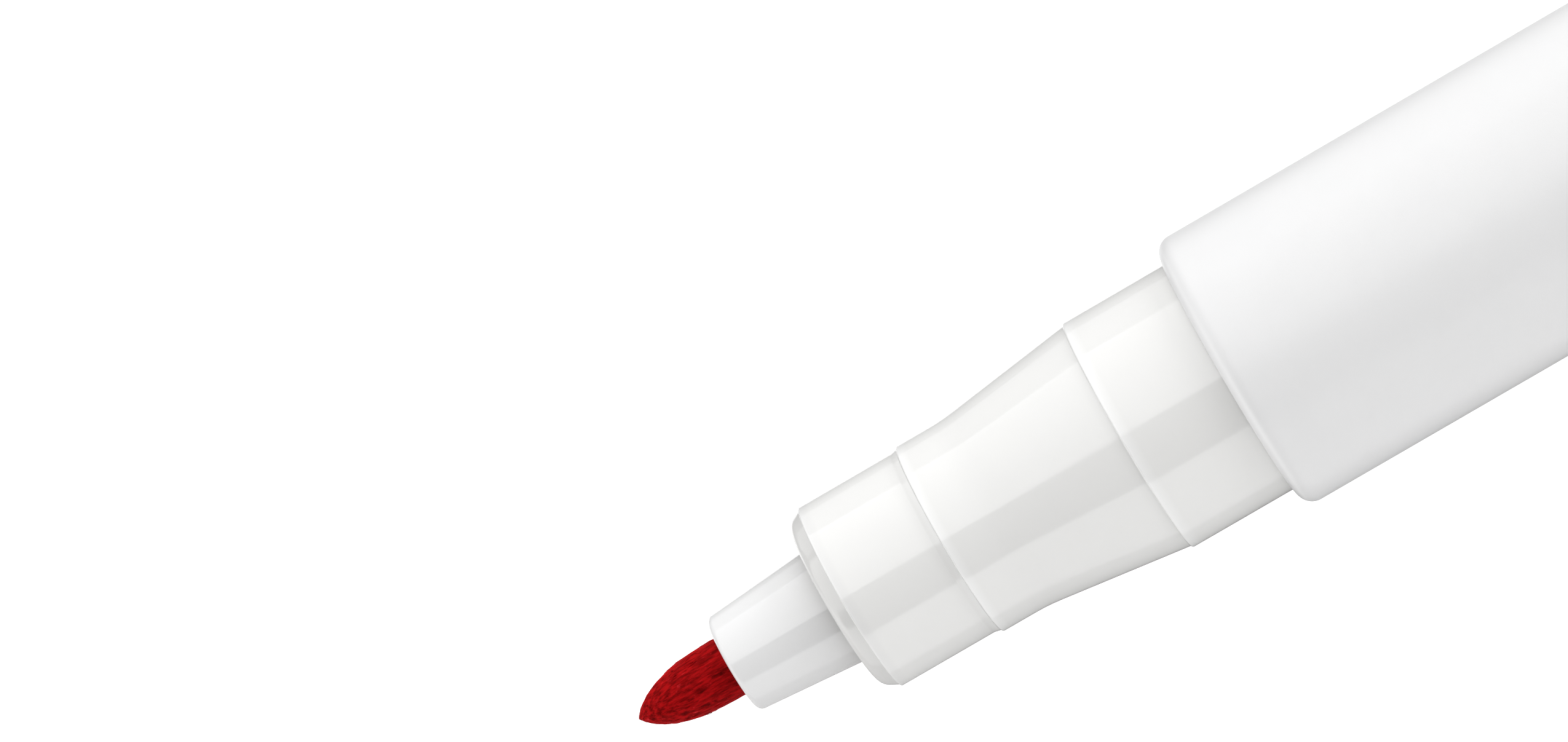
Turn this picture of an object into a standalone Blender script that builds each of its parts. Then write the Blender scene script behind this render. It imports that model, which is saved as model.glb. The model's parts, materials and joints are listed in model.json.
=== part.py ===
"""Whiteboard marker with a bullet nib, lying on a table with its cap posted on its tail.

The marker lies along X with its nib towards -X. It rests on the barrel, the cap and the lower
outer edge of the cap's pocket clip, so it can't roll. Outlines are given in millimetres: a
station is a distance from the nib's tip towards the tail, and a radius is a distance from the
marker's centre line. The origin is under the middle of the whole, on the table.
"""

import math

import bmesh
import bpy
from mathutils import Matrix, Vector

MM = 0.001
SEGMENTS = 40
ARC_STEPS = 3
FULL_TURN = 2 * math.pi

# Driving dimensions, in millimetres.
BARREL_RADIUS = 8.5
BORE_RADIUS = 7.36
COLLAR_RADIUS = 7.26
SEAL_SEAT_RADIUS = 5.8
CONE_FRONT_RADIUS = 6.01
HOLDER_FRONT_RADIUS = 3.0
HOLDER_SHANK_RADIUS = 3.55
NIB_RADIUS = 1.83
RESERVOIR_RADIUS = 5.7
FIT_GAP = 0.12
FACE_GAP = 0.3

HOLDER_FRONT = 6.15
NOSE_FRONT = 12.85
NOSE_STEP = 20.35
CONE_START = 23.2
COLLAR_START = 31.95
BARREL_FRONT = 38.4
NOSE_REAR = 50.0
BARREL_LENGTH = 84.0
CAP_LENGTH = 46.0
POST_LENGTH = 9.5
POST_RADIUS = 7.15
FLANGE_THICKNESS = 1.3
INSERT_LENGTH = 9.4

# The nib's bullet end follows radius * (1 - (1 - s / length) ** power) ** sharpness.
OGIVE_LENGTH = 5.5
OGIVE_POWER = 2.5
OGIVE_SHARPNESS = 0.72
OGIVE_STEPS = 9
NIB_END = 39.0

BARREL_REAR = BARREL_FRONT + BARREL_LENGTH
FLANGE_FRONT = BARREL_REAR + FACE_GAP
FLANGE_REAR = FLANGE_FRONT + FLANGE_THICKNESS
POST_END = FLANGE_REAR + POST_LENGTH
CAP_RIM = FLANGE_REAR + FACE_GAP
CAP_END = CAP_RIM + CAP_LENGTH

FLANGE_SEAT = NOSE_STEP + 0.1
INSERT_FRONT = BARREL_REAR - INSERT_LENGTH
RESERVOIR_SHOULDER = 31.2
RESERVOIR_FRONT = RESERVOIR_SHOULDER + FACE_GAP + 0.1
RESERVOIR_REAR = INSERT_FRONT - FACE_GAP
WRAP_INNER_RADIUS = RESERVOIR_RADIUS + 0.1
WRAP_OUTER_RADIUS = RESERVOIR_RADIUS + 0.3
REAR_BORE_RADIUS = WRAP_OUTER_RADIUS + 0.15

CAP_WALL = 1.8
SKIRT_DEPTH = 10.0
SKIRT_RADIUS = 7.42
CAP_BORE_RADIUS = 7.2
SEAL_LIP_DEPTH = 18.4
SEAL_BASE_DEPTH = 42.4
SEAL_BORE_RADIUS = 5.9
SEAL_WALL = 0.8

# The clip, in its own frame: its outer face is this far from the centre line.
CLIP_REACH = 11.3
CLIP_THICKNESS = 1.5
CLIP_WIDTH = 6.0
CLIP_EDGE = 0.4
CLIP_ROOT_END = CAP_END - 3.5
CLIP_ROOT_LENGTH = 6.0
CLIP_TIP = CAP_RIM + 6.0
CLIP_SEAT = BARREL_RADIUS + FACE_GAP
CLIP_BEND = CLIP_ROOT_END - 3.5
CLIP_BEND_RADIUS = CLIP_REACH - CLIP_THICKNESS / 2

# The roll that lays the clip's lower outer edge on the table, measured from straight down.
EDGE_REACH = CLIP_REACH - CLIP_EDGE
EDGE_OFFSET = CLIP_WIDTH / 2 - CLIP_EDGE
CLIP_ANGLE = math.acos(
    (BARREL_RADIUS - CLIP_EDGE) / math.hypot(EDGE_REACH, EDGE_OFFSET)
) + math.atan2(EDGE_OFFSET, EDGE_REACH)
CLIP_SIDE_REACH = (
    EDGE_REACH * math.sin(CLIP_ANGLE) + EDGE_OFFSET * math.cos(CLIP_ANGLE) + CLIP_EDGE
)

# The centre line's place, with the origin at the bottom centre of the whole.
TIP_X = -CAP_END / 2
AXIS_Y = (CLIP_SIDE_REACH - BARREL_RADIUS) / 2
AXIS_Z = BARREL_RADIUS


def clear_scene():
    for obj in list(bpy.data.objects):
        bpy.data.objects.remove(obj)


def plastic(name, colour, roughness):
    """A plain moulded plastic or fibre, with no metal in it."""
    material = bpy.data.materials.new(name)
    material.use_nodes = True
    shader = material.node_tree.nodes["Principled BSDF"]
    shader.inputs["Base Color"].default_value = (*colour, 1.0)
    shader.inputs["Roughness"].default_value = roughness
    shader.inputs["Metallic"].default_value = 0.0
    return material


def empty(name, place, parent=None, turn=0.0):
    """A frame for the pieces that move together, turned about the centre line."""
    frame = bpy.data.objects.new(name, None)
    bpy.context.scene.collection.objects.link(frame)
    frame.parent = parent
    frame.location = Vector(place) * MM
    frame.rotation_euler.x = turn
    return frame


def fillet(before, corner, after, radius):
    """The points of an arc of this radius that rounds one corner of an outline."""
    corner = Vector(corner)
    back = (Vector(before) - corner).normalized()
    ahead = (Vector(after) - corner).normalized()
    half = back.angle(ahead) / 2
    reach = radius / math.tan(half)
    centre = corner + (back + ahead).normalized() * (radius / math.sin(half))
    start = corner + back * reach - centre
    sweep = start.angle_signed(corner + ahead * reach - centre)
    return [
        centre + Matrix.Rotation(-sweep * step / ARC_STEPS, 2) @ start
        for step in range(ARC_STEPS + 1)
    ]


def outline(corners):
    """Corners are (station, radius), or (station, radius, fillet radius) where one is round."""
    points = []
    for index, corner in enumerate(corners):
        if len(corner) == 2:
            points.append(Vector(corner))
            continue
        before = corners[index - 1][:2]
        after = corners[(index + 1) % len(corners)][:2]
        points.extend(fillet(before, corner[:2], after, corner[2]))
    return points


def node(name, mesh, material, parent):
    obj = bpy.data.objects.new(name, mesh)
    obj.parent = parent
    bpy.context.scene.collection.objects.link(obj)
    if material:
        mesh.materials.append(material)
    return obj


def mesh_of(name, shape):
    """The finished mesh of a bmesh, with its faces pointing out."""
    bmesh.ops.recalc_face_normals(shape, faces=shape.faces)
    mesh = bpy.data.meshes.new(name)
    shape.to_mesh(mesh)
    shape.free()
    return mesh


def turned(name, corners, material, parent, segments=SEGMENTS):
    """A piece turned about the centre line. An outline that starts on the line also ends on it."""
    shape = bmesh.new()
    points = outline(corners)
    verts = [shape.verts.new((s * MM, 0, r * MM)) for s, r in points]
    edges = [shape.edges.new(pair) for pair in zip(verts, verts[1:])]
    if points[0].y > 0:
        edges.append(shape.edges.new((verts[-1], verts[0])))
    bmesh.ops.spin(
        shape,
        geom=verts + edges,
        cent=(0, 0, 0),
        axis=(1, 0, 0),
        angle=FULL_TURN,
        steps=segments,
        use_merge=True,
    )
    bmesh.ops.remove_doubles(shape, verts=shape.verts, dist=0.001 * MM)
    obj = node(name, mesh_of(name, shape), material, parent)
    obj.data.shade_smooth()
    obj.data.set_sharp_from_angle(angle=math.radians(30))
    return obj


def extruded(name, points, direction, material, parent):
    """A flat outline of (x, y, z) points, in millimetres, carried along direction."""
    shape = bmesh.new()
    face = shape.faces.new([shape.verts.new(Vector(p) * MM) for p in points])
    moved = bmesh.ops.extrude_face_region(shape, geom=[face])["geom"]
    bmesh.ops.translate(
        shape,
        verts=[v for v in moved if isinstance(v, bmesh.types.BMVert)],
        vec=Vector(direction) * MM,
    )
    return node(name, mesh_of(name, shape), material, parent)


def spokes(name, count, front, rear, inner, outer, width, parent):
    """Separate bars in a ring round the centre line, each between two radii, as a helper."""
    shape = bmesh.new()
    size = Vector((rear - front, width, outer - inner)) * MM
    middle = Vector(((front + rear) / 2, 0, (inner + outer) / 2)) * MM
    for index in range(count):
        turn = Matrix.Rotation(FULL_TURN * index / count, 4, "X")
        bmesh.ops.create_cube(
            shape,
            size=1.0,
            matrix=turn @ Matrix.Translation(middle) @ Matrix.Diagonal((*size, 1)),
        )
    helper = node(name, mesh_of(name, shape), None, parent)
    return hidden(helper)


def hidden(helper):
    helper.hide_render = True
    helper.display_type = "WIRE"
    return helper


def combine(obj, helper, operation):
    modifier = obj.modifiers.new(operation.lower(), "BOOLEAN")
    modifier.operation = operation
    modifier.object = helper


def make_nib(parent, material):
    """A bundle of fibres ground to a bullet at the front, with a blunt cone in the reservoir."""
    rear_taper = 2.0
    rear_radius = 0.9
    bullet = []
    for step in range(OGIVE_STEPS):
        share = (step / (OGIVE_STEPS - 1)) ** 1.6
        swell = (1 - (1 - share) ** OGIVE_POWER) ** OGIVE_SHARPNESS
        bullet.append((share * OGIVE_LENGTH, NIB_RADIUS * swell))
    corners = [
        *bullet,
        (NIB_END - rear_taper, NIB_RADIUS),
        (NIB_END, rear_radius),
        (NIB_END, 0),
    ]
    turned("nib", corners, material, parent, segments=24)


def make_nib_holder(parent, material):
    """The small cone that grips the nib. Its flange stops it behind the nose's front wall."""
    bore = NIB_RADIUS + FIT_GAP
    flange_front = FLANGE_SEAT + FACE_GAP
    flange_rear = flange_front + 1.4
    flange_radius = 4.95
    tail = 29.0
    tail_radius = 3.2
    corners = [
        (HOLDER_FRONT, bore, 0.1),
        (HOLDER_FRONT, HOLDER_FRONT_RADIUS, 0.4),
        (NOSE_FRONT, HOLDER_SHANK_RADIUS),
        (flange_front, HOLDER_SHANK_RADIUS),
        (flange_front, flange_radius),
        (flange_rear, flange_radius),
        (flange_rear, tail_radius),
        (tail, tail_radius),
        (tail, bore),
    ]
    holder = turned("nib_holder", corners, material, parent, segments=32)
    slots = spokes(
        "holder_air_slots", 4, FLANGE_SEAT, flange_rear + 1, 4.1, 5.6, 1.2, parent
    )
    combine(holder, slots, "DIFFERENCE")


def make_nose_section(parent, material):
    """The stepped front moulding: seal seat, cone and collar outside, and the holder's seat inside."""
    front_bore = HOLDER_SHANK_RADIUS + FIT_GAP
    counterbore = 5.15
    corners = [
        (NOSE_FRONT, front_bore),
        (NOSE_FRONT, 5.2, 0.25),
        (NOSE_FRONT + 1.05, SEAL_SEAT_RADIUS - 0.02, 0.5),
        (NOSE_STEP - 0.35, SEAL_SEAT_RADIUS, 0.2),
        (NOSE_STEP, CONE_FRONT_RADIUS, 0.15),
        (CONE_START, CONE_FRONT_RADIUS - 0.02, 12),
        (COLLAR_START - 0.12, COLLAR_RADIUS - 0.06),
        (COLLAR_START + 0.1, COLLAR_RADIUS, 0.1),
        (NOSE_REAR, COLLAR_RADIUS, 0.4),
        (NOSE_REAR, REAR_BORE_RADIUS),
        (RESERVOIR_SHOULDER, REAR_BORE_RADIUS),
        (RESERVOIR_SHOULDER, counterbore),
        (FLANGE_SEAT, counterbore),
        (FLANGE_SEAT, front_bore),
    ]
    turned("nose_section", corners, material, parent)


def make_barrel(parent, material):
    """The tube. Fins inside hold the reservoir on the centre line and leave air round it."""
    corners = [
        (BARREL_FRONT, BORE_RADIUS, 0.1),
        (BARREL_FRONT, BARREL_RADIUS, 1.0),
        (BARREL_REAR, BARREL_RADIUS, 0.25),
        (BARREL_REAR, BORE_RADIUS),
    ]
    barrel = turned("barrel", corners, material, parent)
    fins = spokes(
        "barrel_fins",
        6,
        NOSE_REAR + 2,
        RESERVOIR_REAR - 1,
        REAR_BORE_RADIUS,
        BORE_RADIUS + 0.5,
        1.0,
        parent,
    )
    combine(barrel, fins, "UNION")


def make_reservoir(parent, fibre, film):
    """The fibre wad that holds the ink, with a socket for the nib's rear end, and its film."""
    socket_radius = NIB_RADIUS + FIT_GAP
    core = [
        (NIB_END + FACE_GAP, 0),
        (NIB_END + FACE_GAP, socket_radius),
        (RESERVOIR_FRONT, socket_radius),
        (RESERVOIR_FRONT, RESERVOIR_RADIUS),
        (RESERVOIR_REAR, RESERVOIR_RADIUS),
        (RESERVOIR_REAR, 0),
    ]
    turned("ink_reservoir", core, fibre, parent, segments=32)
    sleeve = [
        (RESERVOIR_FRONT, WRAP_INNER_RADIUS),
        (RESERVOIR_FRONT, WRAP_OUTER_RADIUS),
        (RESERVOIR_REAR, WRAP_OUTER_RADIUS),
        (RESERVOIR_REAR, WRAP_INNER_RADIUS),
    ]
    turned("reservoir_wrap", sleeve, film, parent, segments=32)


def make_tail_plug(parent, material):
    """The plug that closes the barrel: an insert, a flange, and the post that the cap goes on."""
    insert_radius = BORE_RADIUS - FIT_GAP
    wall = 1.3
    end_wall = 1.6
    cavity_end = POST_END - end_wall
    cavity_radius = insert_radius - wall
    corners = [
        (INSERT_FRONT, cavity_radius),
        (INSERT_FRONT, insert_radius, 0.4),
        (FLANGE_FRONT, insert_radius),
        (FLANGE_FRONT, BARREL_RADIUS, 0.2),
        (FLANGE_REAR, BARREL_RADIUS, 0.2),
        (FLANGE_REAR, POST_RADIUS),
        (POST_END, POST_RADIUS, 1.0),
        (POST_END, 0),
        (cavity_end, 0),
        (cavity_end, cavity_radius),
    ]
    plug = turned("tail_plug", on_axis_first(corners), material, parent)
    arm = cavity_radius + 0.6
    half = 0.5
    cross = [
        (arm, half),
        (half, half),
        (half, arm),
        (-half, arm),
        (-half, half),
        (-arm, half),
        (-arm, -half),
        (-half, -half),
        (-half, -arm),
        (half, -arm),
        (half, -half),
        (arm, -half),
    ]
    front = INSERT_FRONT + 0.2
    pusher = extruded(
        "plug_pusher",
        [(front, y, z) for y, z in cross],
        (cavity_end + 0.8 - front, 0, 0),
        None,
        parent,
    )
    combine(plug, hidden(pusher), "UNION")


def on_axis_first(corners):
    """The same closed outline, cut where it meets the centre line."""
    rejoin = [index for index, corner in enumerate(corners) if corner[1] == 0][-1]
    return corners[rejoin:] + corners[:rejoin]


def make_cap(parent, gloss, seal):
    """The cap, drawn from its rim, and the soft inner seal that closes on the nose."""
    bore_end = CAP_LENGTH - CAP_WALL
    shell = [
        (bore_end, 0),
        (bore_end, CAP_BORE_RADIUS),
        (SKIRT_DEPTH, CAP_BORE_RADIUS),
        (SKIRT_DEPTH - 1, SKIRT_RADIUS),
        (0, SKIRT_RADIUS, 0.2),
        (0, BARREL_RADIUS, 0.35),
        (CAP_LENGTH, BARREL_RADIUS, 1.6),
        (CAP_LENGTH, 0),
    ]
    turned("cap_shell", shell, gloss, parent)
    outer = SEAL_BORE_RADIUS + SEAL_WALL
    base = CAP_BORE_RADIUS - FIT_GAP
    base_rear = bore_end - FACE_GAP
    liner = [
        (SEAL_BASE_DEPTH, 0),
        (SEAL_BASE_DEPTH, SEAL_BORE_RADIUS),
        (SEAL_LIP_DEPTH + 1, SEAL_BORE_RADIUS),
        (SEAL_LIP_DEPTH, SEAL_BORE_RADIUS + 0.25),
        (SEAL_LIP_DEPTH, outer, 0.2),
        (SEAL_BASE_DEPTH, outer),
        (SEAL_BASE_DEPTH, base),
        (base_rear, base),
        (base_rear, 0),
    ]
    inner_seal = turned("cap_seal", liner, seal, parent)
    ribs = spokes(
        "seal_ribs",
        6,
        SEAL_LIP_DEPTH + 6,
        SEAL_BASE_DEPTH + 0.5,
        outer - 0.4,
        base - 0.1,
        0.9,
        parent,
    )
    combine(inner_seal, ribs, "UNION")


def make_clip(parent, material):
    """The spring arm along the cap. Its frame is on the line that it bends about, in its root."""
    underside = CLIP_REACH - CLIP_THICKNESS
    bump = CLIP_SEAT + 0.05
    side = [
        (CLIP_ROOT_END, CLIP_SEAT),
        (CLIP_ROOT_END - CLIP_ROOT_LENGTH, CLIP_SEAT),
        (CLIP_ROOT_END - CLIP_ROOT_LENGTH - 1.2, underside),
        (CLIP_TIP + 4.5, underside),
        (CLIP_TIP + 2.8, bump),
        (CLIP_TIP + 1.6, bump),
        (CLIP_TIP, underside),
        (CLIP_TIP, CLIP_REACH - 0.5),
        (CLIP_TIP + 0.8, CLIP_REACH),
        (CLIP_ROOT_END - 1.6, CLIP_REACH),
        (CLIP_ROOT_END, CLIP_REACH - 1.2),
    ]
    points = [
        (s - CLIP_BEND, -CLIP_WIDTH / 2, reach - CLIP_BEND_RADIUS) for s, reach in side
    ]
    clip = extruded("pocket_clip", points, (0, CLIP_WIDTH, 0), material, parent)
    bevel = clip.modifiers.new("edges", "BEVEL")
    bevel.width = CLIP_EDGE * MM
    bevel.segments = 2
    bevel.limit_method = "ANGLE"
    bevel.angle_limit = math.radians(60)


def main():
    clear_scene()
    red = plastic("red_gloss", (0.56, 0.012, 0.014), 0.22)
    white_gloss = plastic("white_gloss", (0.86, 0.86, 0.845), 0.12)
    white_satin = plastic("white_satin", (0.86, 0.86, 0.86), 0.38)
    natural = plastic("natural_seal", (0.8, 0.8, 0.77), 0.4)
    nib_fibre = plastic("nib_fibre", (0.3, 0.006, 0.008), 0.55)
    inked_wad = plastic("inked_wad", (0.42, 0.01, 0.014), 0.8)
    film = plastic("wrap_film", (0.78, 0.42, 0.42), 0.25)

    marker = empty("marker_axis", (TIP_X, AXIS_Y, AXIS_Z))
    cap = empty("cap_axis", (CAP_RIM, 0, 0), marker)
    lean = empty("clip_side", (CLIP_BEND, 0, 0), marker, math.pi - CLIP_ANGLE)
    bend = empty("clip_bend", (0, 0, CLIP_BEND_RADIUS), lean)

    make_nib(marker, nib_fibre)
    make_nib_holder(marker, white_gloss)
    make_nose_section(marker, white_gloss)
    make_barrel(marker, white_satin)
    make_reservoir(marker, inked_wad, film)
    make_tail_plug(marker, red)
    make_cap(cap, red, natural)
    make_clip(bend, red)


main()
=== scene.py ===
"""A whiteboard marker with a bullet nib, and the studio it lies in.

The marker lies along X with its nib towards -X, and everything is turned about its centre line.
A station is a distance along that line from the nib's tip, and a radius is a distance from it.
The settings are in metres. Outlines, reliefs and patterns are in millimetres, and they become
metres where their points are made.
"""

import itertools
import json
import math

import bpy
import numpy as np
from bpy.props import FloatProperty, FloatVectorProperty, PointerProperty
from mathutils import Matrix, Vector


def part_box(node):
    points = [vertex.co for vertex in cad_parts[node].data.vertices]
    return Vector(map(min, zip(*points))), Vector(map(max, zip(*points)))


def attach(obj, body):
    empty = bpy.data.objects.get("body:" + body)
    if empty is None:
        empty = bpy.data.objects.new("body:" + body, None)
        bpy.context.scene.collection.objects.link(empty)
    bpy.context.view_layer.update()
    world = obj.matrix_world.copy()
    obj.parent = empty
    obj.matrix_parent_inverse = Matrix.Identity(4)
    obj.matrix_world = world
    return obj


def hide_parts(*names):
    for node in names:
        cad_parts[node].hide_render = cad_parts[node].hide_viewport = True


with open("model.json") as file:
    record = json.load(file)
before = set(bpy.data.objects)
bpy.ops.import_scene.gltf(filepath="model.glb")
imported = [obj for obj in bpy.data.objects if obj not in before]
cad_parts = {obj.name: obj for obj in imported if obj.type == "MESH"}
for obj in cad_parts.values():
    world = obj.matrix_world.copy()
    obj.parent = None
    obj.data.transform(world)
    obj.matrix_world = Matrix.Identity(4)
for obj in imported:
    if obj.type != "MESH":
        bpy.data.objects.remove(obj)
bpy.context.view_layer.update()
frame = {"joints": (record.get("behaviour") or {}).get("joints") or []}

bl_info = {
    "name": "Whiteboard Marker",
    "version": (1, 0, 0),
    "blender": (4, 5, 0),
    "location": "3D View > Sidebar > Marker",
    "description": "Builds a whiteboard marker with a bullet nib, and a small studio for it",
    "category": "Object",
}

MM = 0.001
TURN = 2 * math.pi
SEGMENTS = 256
FINE_SEGMENTS = 384
SHARP_ANGLE = math.radians(38)


def middle(node):
    """The middle of a node's box, in metres."""
    low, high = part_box(node)
    return (low + high) / 2


TIP_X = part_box("nib")[0].x
AXIS_Y = middle("barrel").y
AXIS_Z = middle("barrel").z


def front(node):
    """The station where a node starts, in millimetres."""
    return (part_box(node)[0].x - TIP_X) / MM


def rear(node):
    """The station where a node ends, in millimetres."""
    return (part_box(node)[1].x - TIP_X) / MM


def radius(node):
    """The largest radius of a turned node, in millimetres."""
    low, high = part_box(node)
    return (high.z - low.z) / 2 / MM


# ---------------------------------------------------------------------------------------------
# Settings
# ---------------------------------------------------------------------------------------------


def length(name, description, value_mm):
    """A length setting, from a default in millimetres."""
    return FloatProperty(
        name=name,
        description=description,
        default=value_mm * MM,
        min=0.0,
        unit="LENGTH",
        precision=5,
    )


def colour(name, description, value):
    """A colour setting, in linear red, green and blue."""
    return FloatVectorProperty(
        name=name,
        description=description,
        default=value,
        size=3,
        min=0.0,
        max=1.0,
        subtype="COLOR",
    )


class MarkerNibSettings(bpy.types.PropertyGroup):
    bullet: length("Bullet length", "How far back the nib's end is ground to a bullet", 5.5)
    power: FloatProperty(
        name="Bullet roundness",
        description="How late the bullet reaches the nib's full radius",
        default=2.5,
        min=1.0,
    )
    sharpness: FloatProperty(
        name="Bullet sharpness",
        description="How pointed the tip is. At a half it is round",
        default=0.72,
        min=0.3,
        max=1.5,
    )
    relief: length("Fibre relief", "How deep the grooves between the fibres are", 0.05)


class MarkerNoseSettings(bpy.types.PropertyGroup):
    seat_radius: length("Seal seat radius", "Radius where the cap's seal closes", 5.8)
    seat_length: length("Seal seat length", "From the front face to the step", 7.5)
    chamfer: length("Front chamfer", "Length of the chamfer on the front edge", 1.05)
    cone_radius: length("Cone front radius", "Radius just behind the step", 6.01)
    cone_start: length("Cone start", "From the front face to the start of the cone", 10.35)
    collar_start: length("Collar start", "From the front face to the collar", 19.1)
    edge: length("Edge radius", "How round the three raised edges are", 0.11)


class MarkerBarrelSettings(bpy.types.PropertyGroup):
    wall: length("Wall", "Thickness of the tube's wall", 1.2)
    front_edge: length("Front edge radius", "How round the front rim is", 1.0)
    rear_edge: length("Rear edge radius", "How round the rear rim is", 0.25)


class MarkerCapSettings(bpy.types.PropertyGroup):
    wall: length("Wall", "Thickness of the cap's wall", 1.3)
    end_wall: length("End wall", "Thickness of the cap's closed end", 1.8)
    end_edge: length("End edge radius", "How round the closed end's edge is", 1.6)
    skirt: length("Skirt depth", "How deep the wider mouth goes", 10.0)


class MarkerClipSettings(bpy.types.PropertyGroup):
    width: length("Width", "Width of the clip", 6.0)
    thickness: length("Thickness", "Thickness of the arm", 1.5)
    edge: length("Edge radius", "How round the clip's long edges are", 0.3)


class MarkerFinishSettings(bpy.types.PropertyGroup):
    gloss_white: colour("Glossy white", "The nose", (0.8, 0.798, 0.785))
    holder_white: colour("Holder white", "The nib holder", (0.82, 0.82, 0.82))
    satin_white: colour("Satin white", "The barrel", (0.775, 0.775, 0.777))
    ink: colour("Ink", "What the nib's fibres are soaked with", (0.275, 0.0016, 0.0022))
    cap: colour("Cap", "The cap, its clip and the tail plug", (0.56, 0.012, 0.014))
    seal: colour("Seal", "The soft seal in the cap", (0.8, 0.8, 0.77))


class MarkerStageSettings(bpy.types.PropertyGroup):
    view_height: FloatProperty(
        name="View height",
        description="How high above the table the camera looks from",
        default=math.radians(45),
        subtype="ANGLE",
    )
    view_lean: FloatProperty(
        name="View lean",
        description="How far the camera stands towards the marker's tail",
        default=math.radians(5.3),
        subtype="ANGLE",
    )
    roll: FloatProperty(
        name="Roll",
        description="How steeply the marker rises to the right of the picture",
        default=math.radians(30.3),
        subtype="ANGLE",
    )
    width: length("Picture width", "What the picture takes in at the marker", 87.93)
    aim_station: length("Aim station", "The station that the camera aims at", 17.0)
    aim_height: length("Aim height", "How far above the centre line it aims", 12.8)
    lens: FloatProperty(
        name="Lens", description="Focal length in millimetres", default=200.0, min=20.0
    )


class MarkerSettings(bpy.types.PropertyGroup):
    nib: PointerProperty(type=MarkerNibSettings)
    nose: PointerProperty(type=MarkerNoseSettings)
    barrel: PointerProperty(type=MarkerBarrelSettings)
    cap: PointerProperty(type=MarkerCapSettings)
    clip: PointerProperty(type=MarkerClipSettings)
    finish: PointerProperty(type=MarkerFinishSettings)
    stage: PointerProperty(type=MarkerStageSettings)


# ---------------------------------------------------------------------------------------------
# Surfaces
# ---------------------------------------------------------------------------------------------


def new_mesh(name, points, *faces):
    """An object at the origin, from points in metres and index arrays, one face in each row."""
    loops = np.concatenate([rows.ravel() for rows in faces])
    sizes = np.concatenate([np.full(len(rows), rows.shape[1]) for rows in faces])
    mesh = bpy.data.meshes.new(name)
    mesh.vertices.add(len(points))
    mesh.vertices.foreach_set("co", np.asarray(points, dtype=np.float32).ravel())
    mesh.loops.add(len(loops))
    mesh.loops.foreach_set("vertex_index", loops.astype(np.int32))
    mesh.polygons.add(len(sizes))
    starts = np.concatenate([[0], np.cumsum(sizes)[:-1]])
    mesh.polygons.foreach_set("loop_start", starts.astype(np.int32))
    mesh.update(calc_edges=True)
    mesh.validate()
    mesh.shade_smooth()
    mesh.set_sharp_from_angle(angle=SHARP_ANGLE)
    obj = bpy.data.objects.new(name, mesh)
    bpy.context.scene.collection.objects.link(obj)
    return obj


def grid_faces(rows, columns, closed_rows=False, closed_columns=False):
    """Quads between the neighbours in a grid of points that is numbered row by row.

    Point (i, j) is number i * columns + j. Where the rows or the columns are closed, the last
    of them joins the first.
    """
    row = np.arange(rows if closed_rows else rows - 1)[:, None]
    column = np.arange(columns if closed_columns else columns - 1)[None, :]
    after = (row + 1) % rows
    beside = (column + 1) % columns
    corners = [
        row * columns + column,
        after * columns + column,
        after * columns + beside,
        row * columns + beside,
    ]
    return np.stack(corners, axis=-1).reshape(-1, 4)


def lattice_noise(points, seed):
    """Smooth random values from -1 to 1 for an array of points.

    Each corner of a unit lattice has a value from a seeded table. A point blends the values of
    its cell's eight corners by the smoothstep 3t^2 - 2t^3 of its place t in the cell.
    """
    size = 64
    table = np.random.default_rng(seed).uniform(-1, 1, (size, size, size))
    cell = np.floor(points).astype(int)
    place = points - cell
    ease = place * place * (3 - 2 * place)
    total = np.zeros(points.shape[:-1])
    for corner in itertools.product((0, 1), repeat=3):
        index = (cell + corner) % size
        weight = np.prod(np.where(corner, ease, 1 - ease), axis=-1)
        total += weight * table[index[..., 0], index[..., 1], index[..., 2]]
    return total


def rounded(corners, closed=False, step=8.0, pitch=1.0, margin=0.04):
    """An outline in millimetres, with its round corners drawn as arcs.

    A corner is (station, radius) or (station, radius, fillet). Where the outline turns by an
    angle t at a fillet of radius f, the arc starts f * tan(t / 2) before the corner, and it is
    cut into steps of a few degrees. A straight stretch gets a point a margin from each of its
    ends, so that its shading stays flat, and one each pitch between.
    """
    places = np.array([c[:2] for c in corners], dtype=float)
    fillets = np.array([c[2] if len(c) > 2 else 0.0 for c in corners])
    arcs = []
    for index, (place, fillet) in enumerate(zip(places, fillets)):
        inner = closed or 0 < index < len(places) - 1
        if not fillet or not inner:
            arcs.append(place[None, :])
            continue
        ahead = places[(index + 1) % len(places)] - place
        back = places[index - 1] - place
        ahead /= np.linalg.norm(ahead)
        back /= np.linalg.norm(back)
        half = math.acos(np.clip(ahead @ back, -1, 1)) / 2
        middle_way = (ahead + back) / np.linalg.norm(ahead + back)
        centre = place + middle_way * fillet / math.sin(half)
        sweep = math.pi - 2 * half
        count = max(3, math.ceil(math.degrees(sweep) / step))
        across = (back - ahead) / np.linalg.norm(back - ahead)
        angle = np.linspace(sweep / 2, -sweep / 2, count + 1)[:, None]
        arcs.append(
            centre + fillet * (np.sin(angle) * across - np.cos(angle) * middle_way)
        )
    pieces = []
    for index, arc in enumerate(arcs):
        pieces.append(arc)
        if index == len(arcs) - 1 and not closed:
            break
        start, end = arc[-1], arcs[(index + 1) % len(arcs)][0]
        span = np.linalg.norm(end - start)
        near = min(margin, span / 6)
        count = max(1, math.ceil((span - 2 * near) / pitch))
        share = np.linspace(near, span - near, count + 1) / span
        pieces.append(start + (end - start) * share[:, None])
    return np.concatenate(pieces)


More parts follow.
